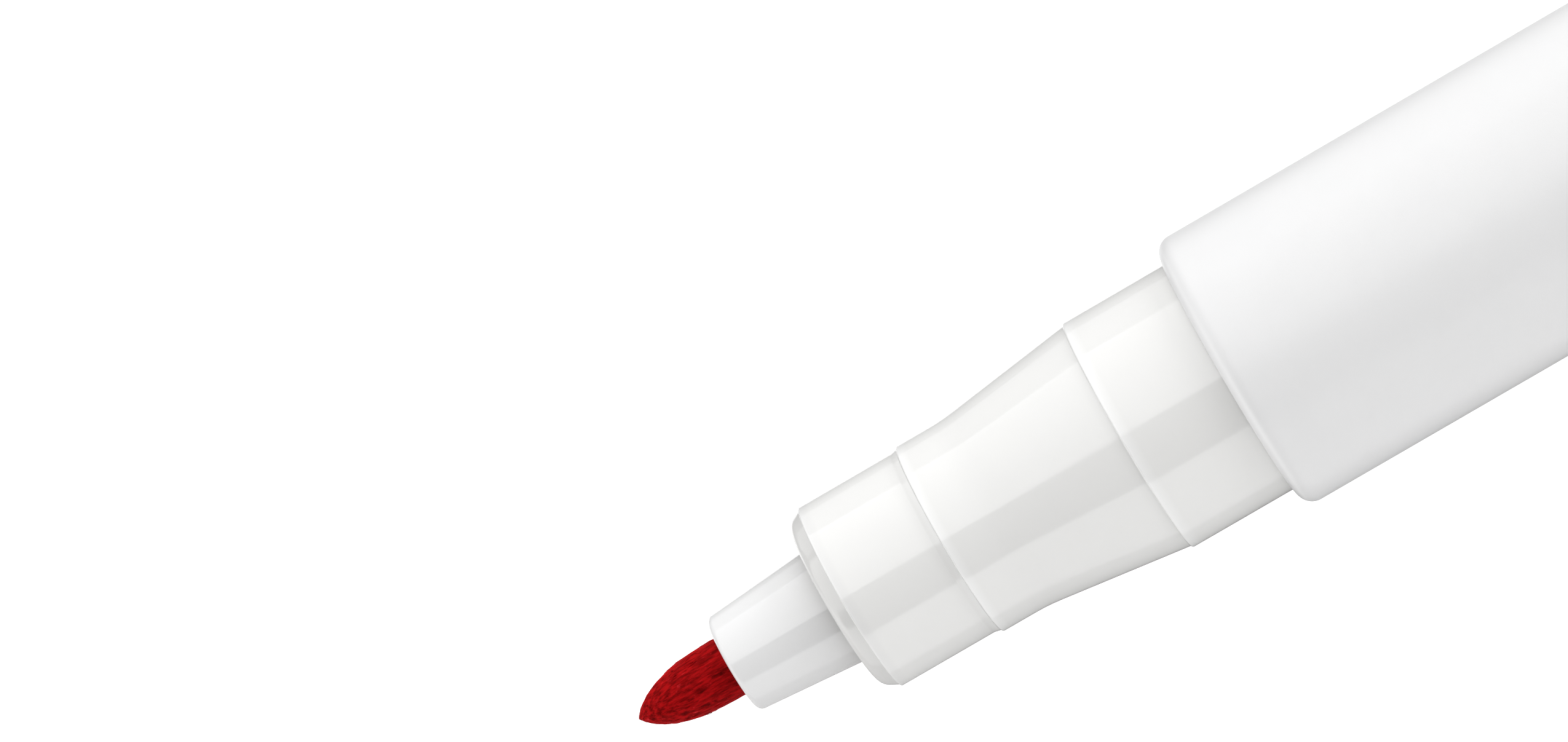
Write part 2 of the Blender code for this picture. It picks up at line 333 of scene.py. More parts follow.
def outward(profile, closed):
    """Unit normals of an outline that runs from the front to the rear along its outside.

    The tangent is the difference of the points on either side, and the normal is the tangent
    turned a quarter turn towards larger radii.
    """
    if closed:
        tangent = np.roll(profile, -1, axis=0) - np.roll(profile, 1, axis=0)
    else:
        tangent = np.gradient(profile, axis=0)
    normal = np.stack([-tangent[:, 1], tangent[:, 0]], axis=1)
    return normal / np.linalg.norm(normal, axis=1, keepdims=True)


def around(station, radial, angle):
    """Points in metres at a station and a radius, at an angle from straight up towards +Y."""
    return np.stack(
        [
            TIP_X + station * MM,
            AXIS_Y + radial * np.sin(angle) * MM,
            AXIS_Z + radial * np.cos(angle) * MM,
        ],
        axis=-1,
    )


def turned(name, profile, closed=False, relief=None, segments=SEGMENTS, marks=()):
    """A surface of revolution: each point (s, r) of the outline is carried round the line.

    Point (i, j) of the grid is at station s_i and radius r_i, at angle j / segments of a turn.
    Relief is a function of the station, radius and angle, in millimetres: how far the surface
    stands out along the outline's normal. An outline that isn't closed starts and ends on the
    centre line, where the grid closes in a fan. Marks are for mark_edges.
    """
    angle = np.arange(segments) * TURN / segments
    rows = profile if closed else profile[1:-1]
    normal = outward(profile, closed)
    normal = normal if closed else normal[1:-1]
    station = np.repeat(rows[:, :1], segments, axis=1)
    radial = np.repeat(rows[:, 1:], segments, axis=1)
    turn = np.repeat(angle[None, :], len(rows), axis=0)
    if relief:
        height = relief(station, radial, turn)
        station = station + height * normal[:, :1]
        radial = radial + height * normal[:, 1:]
    points = around(station, radial, turn).reshape(-1, 3)

    quads = grid_faces(len(rows), segments, closed, closed_columns=True)
    if closed:
        obj = new_mesh(name, points, quads)
        mark_edges(obj, rows, marks, segments)
        return obj

    poles = around(profile[[0, -1], 0], np.zeros(2), np.zeros(2))
    front_pole = np.full(segments, len(points))
    rear_pole = front_pole + 1
    column = np.arange(segments)
    beside = (column + 1) % segments
    last_row = len(points) - segments
    fans = [
        np.stack([front_pole, column, beside], axis=1),
        np.stack([last_row + beside, last_row + column, rear_pole], axis=1),
    ]
    return new_mesh(name, np.concatenate([points, poles]), quads, *fans)


def mark_edges(obj, rows, marks, segments):
    """Writes how much painted highlight each point gets on a raised edge, and how much painted
    shade in a crease.

    A mark is (kind, station, width, least radius, strength). A ridge highlight is a bell curve of
    the distance from its station. A crease shade is strongest at its station and fades out in
    front of it, as the exponential of the distance over the width, and it ends just behind it.
    """
    behind = -0.2
    values = {"RidgeHighlight": np.zeros(len(rows)), "CreaseShade": np.zeros(len(rows))}
    for kind, station, width, least, strength in marks:
        away = (station - rows[:, 0]) / width
        shape = np.exp(-away * away) if kind == "RidgeHighlight" else np.exp(-np.abs(away))
        reached = (rows[:, 1] > least) & ((kind == "RidgeHighlight") | (away > behind))
        values[kind] = np.maximum(values[kind], np.where(reached, strength * shape, 0))
    for kind, value in values.items():
        mark = obj.data.attributes.new(kind, "FLOAT", "POINT")
        mark.data.foreach_set("value", np.repeat(value, segments).astype(np.float32))


def in_windows(angle, count, width, radial):
    """True where an angle lies within half a width, in millimetres, of one of count spokes."""
    pitch = TURN / count
    away = np.abs((angle + pitch / 2) % pitch - pitch / 2)
    return away * radial < width / 2


# ---------------------------------------------------------------------------------------------
# Finishes
# ---------------------------------------------------------------------------------------------

BLACK = (0.0, 0.0, 0.0)
# Colours mixed into the base colour: painted shade in creases and painted highlight on raised
# edges.
CREASE_SHADE = (0.2, 0.19, 0.18)
RIDGE_HIGHLIGHT = (0.93, 0.93, 0.93)
SHEEN_RED = (0.9, 0.006, 0.008, 1.0)


def place_node(tree, kind, inputs=(), **settings):
    """A node with its settings, and its inputs set to values or linked to other sockets."""
    node = tree.nodes.new(kind)
    for key, value in settings.items():
        setattr(node, key, value)
    for key, value in dict(inputs).items():
        if isinstance(value, bpy.types.NodeSocket):
            tree.links.new(value, node.inputs[key])
        else:
            node.inputs[key].default_value = value
    return node


def new_group(name, inputs, outputs):
    """A node group with its sockets. Inputs are (name, kind, default), outputs (name, kind)."""
    group = bpy.data.node_groups.new(name, "ShaderNodeTree")
    for socket, kind, default in inputs:
        made = group.interface.new_socket(socket, in_out="INPUT", socket_type=kind)
        if default is not None:
            made.default_value = default
    for socket, kind in outputs:
        group.interface.new_socket(socket, in_out="OUTPUT", socket_type=kind)
    return group, group.nodes.new("NodeGroupInput"), group.nodes.new("NodeGroupOutput")


def math_node(tree, operation, first, second=0.0, clamp=False):
    """The result of one operation on two values."""
    settings = {"operation": operation, "use_clamp": clamp}
    return place_node(tree, "ShaderNodeMath", {0: first, 1: second}, **settings).outputs[0]


def noise(tree, vector, scale, detail=3.0, roughness=0.5):
    """Fractal noise from 0 to 1, with a grain of one over the scale, in millimetres."""
    inputs = {"Vector": vector, "Scale": scale, "Detail": detail, "Roughness": roughness}
    return place_node(tree, "ShaderNodeTexNoise", inputs).outputs["Fac"]


def span(tree, value, low, high, to_low=0.0, to_high=1.0):
    """A smooth step from to_low to to_high as the value goes from low to high."""
    inputs = {
        "Value": value,
        "From Min": low,
        "From Max": high,
        "To Min": to_low,
        "To Max": to_high,
    }
    settings = {"interpolation_type": "SMOOTHSTEP"}
    return place_node(tree, "ShaderNodeMapRange", inputs, **settings).outputs["Result"]


def stretched(tree, vector, scale):
    """A vector scaled by its own factor along each axis. A small factor gives a long grain."""
    inputs = {"Vector": vector, "Scale": scale}
    return place_node(tree, "ShaderNodeMapping", inputs).outputs["Vector"]


def moulded_skin():
    """Moulded plastic seen close: a slow ripple, a fine grain, hairline scratches and dust.

    Vector is in millimetres from the centre line. Height is in units of the bump's distance,
    Tone is 1 where the plastic is clean and less where it is dulled by handling, and Rub is 1
    where it has been rubbed matt.
    """
    group, inlet, outlet = new_group(
        "Moulded skin",
        [
            ("Vector", "NodeSocketVector", None),
            ("Ripple", "NodeSocketFloat", 0.5),
            ("Grain", "NodeSocketFloat", 0.1),
            ("Scratches", "NodeSocketFloat", 0.3),
        ],
        [
            ("Height", "NodeSocketFloat"),
            ("Tone", "NodeSocketFloat"),
            ("Rub", "NodeSocketFloat"),
        ],
    )
    vector = inlet.outputs["Vector"]
    ripple = noise(group, vector, 0.22, 2.0)
    grain = noise(group, vector, 14.0, 2.0)
    lengthways = noise(group, stretched(group, vector, (0.35, 11.0, 11.0)), 1.0, 3.0)
    crossways = noise(group, stretched(group, vector, (9.0, 0.5, 0.7)), 1.0, 3.0)
    patches = noise(group, vector, 0.35, 3.0)
    hair = math_node(
        group,
        "MAXIMUM",
        span(group, lengthways, 0.735, 0.76),
        span(group, crossways, 0.745, 0.77),
    )
    hair = math_node(group, "MULTIPLY", hair, span(group, patches, 0.45, 0.62))
    hair = math_node(group, "MULTIPLY", hair, inlet.outputs["Scratches"])
    height = math_node(group, "MULTIPLY", ripple, inlet.outputs["Ripple"])
    fine = math_node(group, "MULTIPLY", grain, inlet.outputs["Grain"])
    height = math_node(group, "ADD", height, fine)
    height = math_node(group, "SUBTRACT", height, hair)
    specks = place_node(group, "ShaderNodeTexVoronoi", {"Vector": vector, "Scale": 0.9})
    dust = span(group, specks.outputs["Distance"], 0.012, 0.03, 1.0, 0.0)
    tone = math_node(group, "MULTIPLY", dust, 0.05)
    haze = math_node(group, "MULTIPLY", span(group, patches, 0.35, 0.8), 0.012)
    tone = math_node(group, "SUBTRACT", 1.0, math_node(group, "ADD", tone, haze))
    rub = math_node(
        group,
        "ADD",
        math_node(group, "MULTIPLY", hair, 0.5),
        span(group, patches, 0.3, 0.75, 0.0, 0.5),
        clamp=True,
    )
    group.links.new(height, outlet.inputs["Height"])
    group.links.new(tone, outlet.inputs["Tone"])
    group.links.new(rub, outlet.inputs["Rub"])
    return group


def fibre_bundle():
    """Fibres that run along the marker: long streaks, the gaps in them and spots of painted
    highlight.

    Vector is in millimetres from the centre line. Noise that is stretched along the fibres
    gives streaks on the side of a bundle and dots where it is ground across.
    """
    group, inlet, outlet = new_group(
        "Fibre bundle",
        [("Vector", "NodeSocketVector", None), ("Density", "NodeSocketFloat", 6.0)],
        [
            ("Strand", "NodeSocketFloat"),
            ("Gap", "NodeSocketFloat"),
            ("Glint", "NodeSocketFloat"),
            ("Height", "NodeSocketFloat"),
        ],
    )
    vector = inlet.outputs["Vector"]
    density = inlet.outputs["Density"]
    strands = noise(group, stretched(group, vector, (0.16, 1, 1)), density, 4.0, 0.6)
    gaps = noise(group, stretched(group, vector, (0.22, 1, 1.1)), 3.6, 2.0)
    glints = noise(group, stretched(group, vector, (0.3, 1.1, 1)), 4.6, 2.0)
    tufts = noise(group, vector, 2.2, 4.0, 0.6)
    gap = math_node(
        group,
        "MULTIPLY",
        span(group, gaps, 0.56, 0.68),
        span(group, tufts, 0.4, 0.62),
    )
    glint = math_node(
        group,
        "MULTIPLY",
        span(group, glints, 0.6, 0.72),
        span(group, tufts, 0.45, 0.65),
    )
    height = math_node(group, "SUBTRACT", strands, math_node(group, "MULTIPLY", gap, 0.8))
    group.links.new(span(group, strands, 0.3, 0.7), outlet.inputs["Strand"])
    group.links.new(gap, outlet.inputs["Gap"])
    group.links.new(glint, outlet.inputs["Glint"])
    group.links.new(height, outlet.inputs["Height"])
    return group


def place_group(tree, name, build, inputs):
    """The outputs of a node group placed in a tree. The group is built when it is first used."""
    group = bpy.data.node_groups.get(name) or build()
    return place_node(tree, "ShaderNodeGroup", inputs, node_tree=group).outputs


def new_finish(name, roughness, specular=0.5, subsurface=0.0, depth_mm=1.0):
    """A material with its Principled shader, and a vector in millimetres from the centre line."""
    material = bpy.data.materials.new(name)
    material.use_nodes = True
    tree = material.node_tree
    shader = tree.nodes["Principled BSDF"]
    shader.inputs["Roughness"].default_value = roughness
    shader.inputs["Specular IOR Level"].default_value = specular
    shader.inputs["Subsurface Weight"].default_value = subsurface
    shader.inputs["Subsurface Scale"].default_value = depth_mm * MM
    shader.inputs["Subsurface Radius"].default_value = (1.0, 0.9, 0.8)
    inputs = {
        "Vector": place_node(tree, "ShaderNodeTexCoord").outputs["Object"],
        "Scale": (1 / MM, 1 / MM, 1 / MM),
        "Location": (-TIP_X / MM, -AXIS_Y / MM, -AXIS_Z / MM),
    }
    mapping = place_node(tree, "ShaderNodeMapping", inputs)
    return material, tree, shader, mapping.outputs["Vector"]


def mixed(tree, factor, first, second):
    """A colour that goes from the first to the second as the factor goes from 0 to 1."""
    inputs = {"Factor": factor}
    for key, value in (("A", first), ("B", second)):
        linked = isinstance(value, bpy.types.NodeSocket)
        inputs[key] = value if linked else (*value, 1.0)
    return place_node(tree, "ShaderNodeMix", inputs, data_type="RGBA").outputs["Result"]


def add_bump(tree, shader, height, distance_mm):
    """Bends a shader's normal as if a height of 1 stood out by the distance."""
    inputs = {"Height": height, "Distance": distance_mm * MM}
    bump = place_node(tree, "ShaderNodeBump", inputs)
    tree.links.new(bump.outputs["Normal"], shader.inputs["Normal"])


def plastic_finish(name, base, smooth, dull, ripple, grain, scratches, **options):
    """Moulded plastic whose roughness goes from smooth to dull where it has been rubbed.

    Its colour is lighter with painted highlight where its piece has the RidgeHighlight attribute,
    and darker with painted shade where it has CreaseShade.
    """
    material, tree, shader, vector = new_finish(name, smooth, **options)
    inputs = {"Vector": vector, "Ripple": ripple, "Grain": grain, "Scratches": scratches}
    skin = place_group(tree, "Moulded skin", moulded_skin, inputs)
    inputs = {"Value": skin["Rub"], "To Min": smooth, "To Max": dull}
    rubbed = place_node(tree, "ShaderNodeMapRange", inputs)
    tree.links.new(rubbed.outputs["Result"], shader.inputs["Roughness"])
    tint = mixed(tree, skin["Tone"], BLACK, base)
    # Painted shade in creases and painted highlight on raised edges, from the piece's attributes.
    for kind, mark in (("CreaseShade", CREASE_SHADE), ("RidgeHighlight", RIDGE_HIGHLIGHT)):
        amount = place_node(tree, "ShaderNodeAttribute", attribute_name=kind)
        tint = mixed(tree, amount.outputs["Fac"], tint, mark)
    tree.links.new(tint, shader.inputs["Base Color"])
    add_bump(tree, shader, skin["Height"], 0.02)
    return material


def gloss_white_finish(name, base):
    """Clean glossy plastic with hardly any grain."""
    return plastic_finish(
        name,
        tuple(base),
        smooth=0.09,
        dull=0.17,
        ripple=0.5,
        grain=0.02,
        scratches=0.05,
        specular=1.0,
    )


def satin_white_finish(finish):
    """Satin plastic, duller and with more grain than the nose."""
    return plastic_finish(
        "satin_white",
        tuple(finish.satin_white),
        smooth=0.3,
        dull=0.4,
        ripple=0.4,
        grain=0.22,
        scratches=0.12,
    )


def cap_finish(finish):
    """Glossy plastic that has been handled, so it has more scratches and duller patches."""
    return plastic_finish(
        "cap_gloss",
        tuple(finish.cap),
        smooth=0.14,
        dull=0.27,
        ripple=0.7,
        grain=0.05,
        scratches=0.35,
    )


def seal_finish(finish):
    """Soft, waxy plastic that light enters a little way."""
    return plastic_finish(
        "natural_seal",
        tuple(finish.seal),
        smooth=0.34,
        dull=0.45,
        ripple=0.6,
        grain=0.2,
        scratches=0.1,
        subsurface=0.4,
        depth_mm=1.5,
    )


def fibre_finish(name, base, density, bump_mm):
    """Dyed fibres: streaks darker and lighter than the base, dark gaps and a few painted glints.
    """
    material, tree, shader, vector = new_finish(name, 0.7, specular=0.03)
    shader.inputs["Sheen Weight"].default_value = 0.65
    shader.inputs["Sheen Roughness"].default_value = 0.45
    shader.inputs["Sheen Tint"].default_value = SHEEN_RED
    inputs = {"Vector": vector, "Density": density}
    bundle = place_group(tree, "Fibre bundle", fibre_bundle, inputs)
    red, green, blue = base
    deep = (red * 0.45, green * 0.25, blue * 0.25)
    bright = (min(1.0, red * 1.55), green * 2.6, blue * 2.6)
    # Painted highlight: the glint colour lightens the fibres as if light caught them.
    glint_highlight = (min(1.0, red * 2.2), green * 12, blue * 12)
    hollow = (red * 0.28, green * 0.1, blue * 0.1)
    tint = mixed(tree, bundle["Strand"], deep, bright)
    tint = mixed(tree, bundle["Glint"], tint, glint_highlight)
    tint = mixed(tree, bundle["Gap"], tint, hollow)
    tree.links.new(tint, shader.inputs["Base Color"])
    rough = span(tree, bundle["Glint"], 0.0, 1.0, 0.65, 0.4)
    tree.links.new(rough, shader.inputs["Roughness"])
    add_bump(tree, shader, bundle["Height"], bump_mm)
    return material


def film_finish():
    """The reservoir's thin wrap: clear film over inked fibre, so it shows the fibres' streaks."""
    material, tree, shader, vector = new_finish("wrap_film", 0.2)
    inputs = {"Vector": vector, "Density": 2.5}
    bundle = place_group(tree, "Fibre bundle", fibre_bundle, inputs)
    over_gaps, over_strands = (0.68, 0.3, 0.31), (0.8, 0.45, 0.45)
    tint = mixed(tree, bundle["Strand"], over_gaps, over_strands)
    tree.links.new(tint, shader.inputs["Base Color"])
    add_bump(tree, shader, bundle["Height"], 0.03)
    return material


def finished(obj, material, slot, body, *nodes):
    """Gives a piece its material and its place in the frame."""
    obj.data.materials.append(material)
    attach(obj, body)
    if nodes:
        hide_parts(*nodes)


def shared_finish(name, build, *args):
    """A material that several pieces have, built for the first of them."""
    return bpy.data.materials.get(name) or build(*args)


# ---------------------------------------------------------------------------------------------
# Pieces
# ---------------------------------------------------------------------------------------------


def bullet_radius(station, full, nib):
    """The bullet's outline: full * (1 - (1 - s / length) ^ power) ^ sharpness, then full."""
    share = np.clip(station / (nib.bullet / MM), 0, 1)
    return full * (1 - (1 - share) ** nib.power) ** nib.sharpness


class MARKER_OT_nib(bpy.types.Operator):
    """Build the nib, a bundle of fibres ground to a bullet, and the fibres it has shed"""

    bl_idname = "marker.nib"
    bl_label = "Nib"

    def execute(self, context):
        settings = context.scene.marker
        material = fibre_finish("nib_fibre", tuple(settings.finish.ink), 6.0, 0.035)
        nib = self.make_bundle(settings.nib)
        finished(nib, material, "nib_fibre", "marker", "nib")
        frayed = self.make_frayed_fibres(settings.nib)
        finished(frayed, material, "nib_fibre", "marker")
        return {"FINISHED"}

    def make_bundle(self, nib):
        """The bundle is dense where it shows and coarse where the marker hides it."""
        full, end = radius("nib"), rear("nib")
        shown = front("nib_holder") + 0.6
        taper, blunt = 2.0, 0.9
        crowding = 1.35
        visible = shown * np.linspace(0, 1, 150) ** crowding
        hidden = np.linspace(shown, end - taper, 24)[1:]
        station = np.concatenate([visible, hidden])
        outline = np.stack([station, bullet_radius(station, full, nib)], axis=1)
        tail = np.array([[end, blunt], [end, 0.0]])
        profile = np.concatenate([outline, tail])
        relief_mm = nib.relief / MM

        def relief(s, r, turn):
            """Three layers of noise that is stretched along the fibres, cut in, not added."""
            where = np.stack([s, r * np.sin(turn), r * np.cos(turn)], axis=-1)
            strands = lattice_noise(where * (1.1, 7.5, 7.5), 11)
            fine = lattice_noise(where * (2.0, 17.0, 17.0), 12)
            tufts = lattice_noise(where * (2.6, 2.6, 2.6), 13)
            depth = 0.5 + 0.28 * strands + 0.12 * fine + 0.25 * tufts
            fade = np.clip((shown - s) / 0.3, 0, 1) * np.clip(r / 0.25, 0, 1)
            return -relief_mm * fade * np.clip(depth, 0, 1)

        return turned("nib_bundle", profile, relief=relief, segments=FINE_SEGMENTS)

    def make_frayed_fibres(self, nib):
        """Short fibres whose rear ends lie in the nib and whose front ends have lifted off.

        Fibre k starts at station s_k and angle a_k. At t of its length it is t * reach_k
        further back, turned by drift_k * t^2, and lift_k * (1 - t)^2 above the nib, and both
        of its ends dip into the nib. It is a thin tube that thins towards its free end.
        """
        count, steps, sides = 70, 9, 6
        random = np.random.default_rng(5)
        full = radius("nib")
        start = random.uniform(1.2, front("nib_holder") - 0.9, count)[:, None]
        angle = random.uniform(0, TURN, count)[:, None]
        reach = random.uniform(0.35, 0.9, count)[:, None]
        lift = random.uniform(0.0, 0.07, count)[:, None]
        drift = random.normal(0.0, 0.05, count)[:, None]
        t = np.linspace(0, 1, steps)[None, :]
        station = start + reach * t
        base = bullet_radius(station, full, nib)
        dip, thickest, point = 0.035, 0.016, 0.002
        radial = base - dip * (2 * t - 1) ** 2 + lift * (1 - t) ** 2
        turn = angle + drift * t * t
        thick = thickest * np.sqrt(np.clip(t * 1.6 + 0.12, 0, 1)) * np.ones_like(station)
        thick[:, [0, -1]] = point
        side = np.arange(sides) * TURN / sides
        radial = radial[..., None] + thick[..., None] * np.cos(side)
        turn = turn[..., None] + thick[..., None] * np.sin(side) / base[..., None]
        station = np.repeat(station[..., None], sides, axis=2)
        points = around(station, radial, turn).reshape(-1, 3)
        first = (np.arange(count) * steps * sides)[:, None, None]
        tube = grid_faces(steps, sides, closed_columns=True)
        ring = np.arange(sides)
        ends = np.stack([ring, (steps - 1) * sides + ring[::-1]])
        tubes = (first + tube).reshape(-1, 4)
        caps = (first + ends).reshape(-1, sides)
        return new_mesh("nib_frayed_fibres", points, tubes, caps)


class MARKER_OT_nib_holder(bpy.types.Operator):
    """Build the small cone that grips the nib, with the flange and air slots behind it"""

    bl_idname = "marker.nib_holder"
    bl_label = "Nib holder"

    def execute(self, context):
        finish = context.scene.marker.finish
        bore = radius("nib") + 0.02
        lip, shank, flange, tail = 3.0, 3.55, radius("nib_holder"), 3.2
        slots, slot_width, slot_floor = 4, 1.2, 4.1
        start, end = front("nib_holder"), rear("nib_holder")
        seat = front("nose_section")
        flange_front = seat + 7.9
        flange_rear = flange_front + 1.4
        corners = [
            (start, bore, 0.1),
            (start, lip, 0.4),
            (seat, shank, 4.0),
            (flange_front, shank),
            (flange_front, flange, 0.15),
            (flange_rear, flange, 0.15),
            (flange_rear, tail),
            (end, tail, 0.2),
            (end, bore),
        ]

        def air_slots(s, r, turn):
            """Slots across the flange: inside one, whatever is above its floor drops to it."""
            cut = in_windows(turn, slots, slot_width, r) & (s > flange_front - 0.1)
            cut &= s < flange_rear + 0.1
            return np.where(cut & (r > slot_floor), slot_floor - r, 0.0)

        profile = rounded(corners, closed=True, step=6, pitch=0.4)
        # Painted shade on the holder where it goes into the nose.
        seam_shade = [("CreaseShade", seat + 0.1, 1.0, shank - 0.6, 0.5)]
        holder = turned("holder_cone", profile, closed=True, relief=air_slots, marks=seam_shade)
        material = gloss_white_finish("holder_white", finish.holder_white)
        finished(holder, material, "white_gloss", "marker", "nib_holder")
        return {"FINISHED"}


class MARKER_OT_nose_section(bpy.types.Operator):
    """Build the stepped front moulding, from the seal seat to the spigot in the barrel"""

    bl_idname = "marker.nose_section"
    bl_label = "Nose section"

    def execute(self, context):
        settings = context.scene.marker
        nose = settings.nose
        start, end, collar = (
            front("nose_section"),
            rear("nose_section"),
            radius("nose_section"),
        )
        seat, cone = nose.seat_radius / MM, nose.cone_radius / MM
        chamfer, edge = nose.chamfer / MM, nose.edge / MM
        step = start + nose.seat_length / MM
        cone_start = start + nose.cone_start / MM
        collar_start = start + nose.collar_start / MM
        bore, counterbore, socket = 3.63, 5.15, 6.15
        flange_seat, shoulder = step + 0.1, 31.2
        corners = [
            (start, bore, 0.06),
            (start, seat - 0.6, 0.8),
            (start + chamfer - 0.1, seat - 0.1),
            (start + chamfer - 0.08, seat, edge),
            (step - 0.5, seat, 0.3),
            (step - 0.07, cone - edge, 0.04),
            (step - 0.07, cone, edge),
            (cone_start, cone, 12.0),
            (collar_start - 0.12, collar - edge - 0.01, 0.04),
            (collar_start - 0.08, collar, edge),
            (end, collar, 0.4),
            (end, socket, 0.1),
            (shoulder, socket),
            (shoulder, counterbore),
            (flange_seat, counterbore),
            (flange_seat, bore),
        ]
        profile = rounded(corners, closed=True, step=5, pitch=0.6)
        barrel_front = front("barrel")
        # Painted highlights along the three raised edges, and painted shade on the chamfer and in
        # front of the step, the collar and the barrel's front rim.
        marks = [
            ("RidgeHighlight", start + chamfer, 0.08, seat - 0.12, 0.6),
            ("RidgeHighlight", step + 0.03, 0.09, cone - 0.1, 0.65),
            ("RidgeHighlight", collar_start, 0.09, collar - 0.1, 0.6),
            ("CreaseShade", start + chamfer - 0.1, 1.6, seat - 0.9, 0.22),
            ("CreaseShade", step - 0.3, 0.3, seat - 0.1, 0.12),
            ("CreaseShade", collar_start - 0.12, 0.3, cone, 0.08),
            ("CreaseShade", barrel_front, 0.3, cone, 0.07),
        ]
        obj = turned("nose_moulding", profile, closed=True, marks=marks)
        material = gloss_white_finish("gloss_white", settings.finish.gloss_white)
        finished(obj, material, "white_gloss", "marker", "nose_section")
        return {"FINISHED"}


class MARKER_OT_barrel(bpy.types.Operator):
    """Build the tube, with the fins inside that centre the reservoir"""

    bl_idname = "marker.barrel"
    bl_label = "Barrel"

    def execute(self, context):
        settings = context.scene.marker
        barrel = settings.barrel
        full = radius("barrel")
        bore = full - barrel.wall / MM
        start, end = front("barrel"), rear("barrel")
        fins = (rear("nose_section") + 2, rear("reservoir_wrap") - 1)
        fin_count, fin_radius, fin_width = 6, 6.2, 1.0
        corners = [
            (start, bore, 0.06),
            (start, full, barrel.front_edge / MM),
            (end, full, barrel.rear_edge / MM),
            (end, bore, 0.1),
        ]

        def inner_fins(s, r, turn):
            """Fins on the bore. The bore's normal points inwards, so they stand out of it."""
            along = (s > fins[0]) & (s < fins[1]) & (r < bore + 0.01)
            raised = along & in_windows(turn, fin_count, fin_width, r)
            return np.where(raised, bore - fin_radius, 0.0)

        profile = rounded(corners, closed=True, step=5, pitch=1.5)
        # Painted highlight along the rounded front rim.
        rim = [("RidgeHighlight", start + 0.36, 0.15, full - 0.5, 0.5)]
        tube = turned("barrel_tube", profile, closed=True, relief=inner_fins, marks=rim)
        material = shared_finish("satin_white", satin_white_finish, settings.finish)
        finished(tube, material, "white_satin", "marker", "barrel")
        return {"FINISHED"}


class MARKER_OT_reservoir(bpy.types.Operator):
    """Build the fibre wad that holds the ink, and the film round it"""

    bl_idname = "marker.reservoir"
    bl_label = "Ink reservoir"

    def execute(self, context):
        finish = context.scene.marker.finish
        self.make_wad(finish)
        self.make_wrap()
        return {"FINISHED"}

    def make_wad(self, finish):
        """Crimped fibre, as a cylinder with lengthwise furrows and a socket for the nib."""
        full = radius("ink_reservoir")
        start, end = front("ink_reservoir"), rear("ink_reservoir")
        socket, socket_end = radius("nib") + 0.1, rear("nib") + 0.3
        furrow, skin = 0.12, 0.4
        corners = [
            (socket_end, 0.0),
            (socket_end, socket),
            (start, socket),
            (start, full, 0.3),
            (end, full, 0.3),
            (end, 0.0),
        ]
        profile = rounded(corners, step=15, pitch=2.0)

        def furrows(s, r, turn):
            """Noise that is stretched along the wad, cut into its outside."""
            where = np.stack([s, r * np.sin(turn), r * np.cos(turn)], axis=-1)
            depth = 0.5 + 0.5 * lattice_noise(where * (0.12, 2.2, 2.2), 21)
            return np.where(r > full - skin, -furrow * depth, 0.0)

        wad = turned("ink_wad", profile, relief=furrows)
        red, green, blue = finish.ink
        inked = (min(1.0, red * 1.25), green * 1.5, blue * 1.5)
        material = fibre_finish("inked_wad", inked, 3.0, 0.05)
        finished(wad, material, "inked_wad", "marker", "ink_reservoir")

    def make_wrap(self):
        """A thin sleeve with a shallow lengthwise pleat where the film's edges overlap."""
        outer = radius("reservoir_wrap")
        inner = outer - 0.2
        overlap, pleat_angle, pleat_width = 0.06, 1.0, 0.8
        start, end = front("reservoir_wrap"), rear("reservoir_wrap")
        corners = [(start, inner), (start, outer), (end, outer), (end, inner)]
        profile = rounded(corners, closed=True, pitch=2.0)

        def pleat(s, r, turn):
            """The outside drops by the overlap, less a bell curve of the arc from the pleat."""
            lap = np.exp(-(((turn - pleat_angle) * r / pleat_width) ** 2))
            return np.where(r > outer - 0.05, -overlap * (1 - lap), 0.0)

        sleeve = turned("wad_film", profile, closed=True, relief=pleat)
        finished(sleeve, film_finish(), "wrap_film", "marker", "reservoir_wrap")


